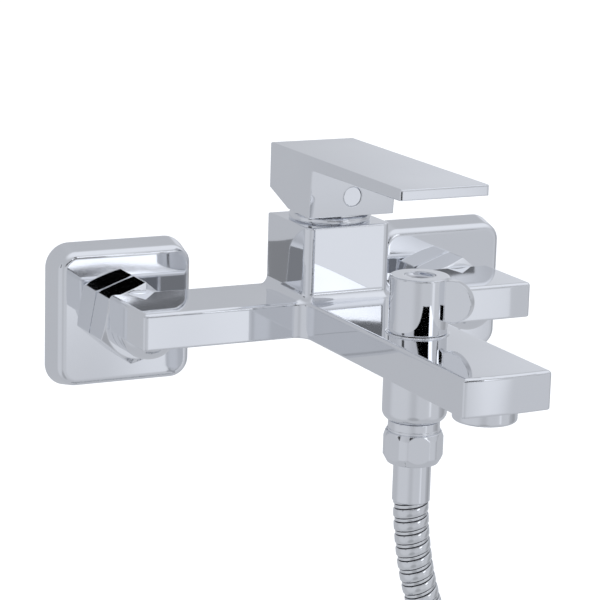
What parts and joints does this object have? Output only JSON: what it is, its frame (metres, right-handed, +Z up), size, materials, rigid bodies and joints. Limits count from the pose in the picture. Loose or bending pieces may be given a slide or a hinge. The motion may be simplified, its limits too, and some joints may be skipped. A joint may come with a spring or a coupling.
{
  "type": "wall mounted bath faucet",
  "caption": "Square single lever wall bath mixer with spout, rotary diverter knob, hose outlet and coiled metal shower hose.",
  "frame": {"origin": "midway between the two G1/2 supply threads, on the finished wall surface", "axes": "+X to the right along the wall, +Y into the wall, +Z up; the spout points to -Y"},
  "size_m": [0.2126, 0.2094, 0.4125],
  "materials": {
    "chrome": "polished chrome plate over brass",
    "hose_metal": "chrome plated double-lock corrugated hose",
    "brass": "turned raw brass",
    "steel": "stainless steel",
    "rubber": "black sealing rubber",
    "ceramic": "lapped alumina ceramic",
    "white_plastic": "white moulded plastic",
    "grey_plastic": "grey moulded plastic",
    "cap_gloss": "chrome plated cap",
    "tie": "black hook tape"
  },
  "bodies": {
    "faucet_body": {"aerator_housing": "chrome", "aerator_insert": "grey_plastic", "aerator_washer": "rubber", "body_casting": "chrome", "cartridge_base_seal": "rubber", "cartridge_housing": "white_plastic", "cartridge_lock_nut": "brass", "coil_ties": "tie", "diverter_base_ring": "chrome", "diverter_bonnet": "brass", "dome_collar": "chrome", "fixed_ceramic_disc": "ceramic", "hose_check_valve": "white_plastic", "hose_coil": "hose_metal", "hose_end_ferrule": "chrome", "hose_end_nut": "chrome", "hose_end_washer": "rubber", "hose_ferrule": "chrome", "hose_nut": "chrome", "hose_outlet_nipple": "chrome", "hose_washer": "rubber", "left_escutcheon": "chrome", "left_filter_washer": "rubber", "left_inlet_tail": "brass", "left_s_union": "brass", "left_strainer": "steel", "left_union_nut": "chrome", "right_escutcheon": "chrome", "right_filter_washer": "rubber", "right_inlet_tail": "brass", "right_s_union": "brass", "right_strainer": "steel", "right_union_nut": "chrome", "shower_hose": "hose_metal"},
    "swivel_carrier": {"swivel_rotor": "white_plastic", "pivot_pin": "steel"},
    "disc_carriage": {"disc_slider": "white_plastic", "moving_ceramic_disc": "ceramic"},
    "lever": {"lever_handle": "chrome", "lever_spindle": "steel", "lever_grub_screw": "steel", "lever_screw_cap": "cap_gloss"},
    "diverter": {"diverter_knob": "chrome", "diverter_stem": "brass", "diverter_o_ring": "rubber", "knob_screw": "steel", "knob_cap": "cap_gloss"}
  },
  "joints": [
    {"name": "lever_swivel", "type": "hinge", "parent": "faucet_body", "child": "swivel_carrier", "pos_m": [0, -0.04815, 0.044], "axis": [0, 0, 1], "range_deg": [-45, 45]},
    {"name": "lever_lift", "type": "hinge", "parent": "swivel_carrier", "child": "lever", "pos_m": [0, -0.04815, 0.044], "axis": [-1, 0, 0], "range_deg": [0, 20]},
    {"name": "disc_slide", "type": "slide", "parent": "swivel_carrier", "child": "disc_carriage", "axis": [0, -1, 0], "range_m": [0, 0.0027]},
    {"name": "diverter_turn", "type": "hinge", "parent": "faucet_body", "child": "diverter", "pos_m": [0, -0.1253, 0.03], "axis": [0, 0, 1], "range_deg": [-35.6, 54.4]}
  ],
  "couplings": [
    {"joint": "disc_slide", "follows": "lever_lift", "m_per_rad": 0.0074}
  ]
}
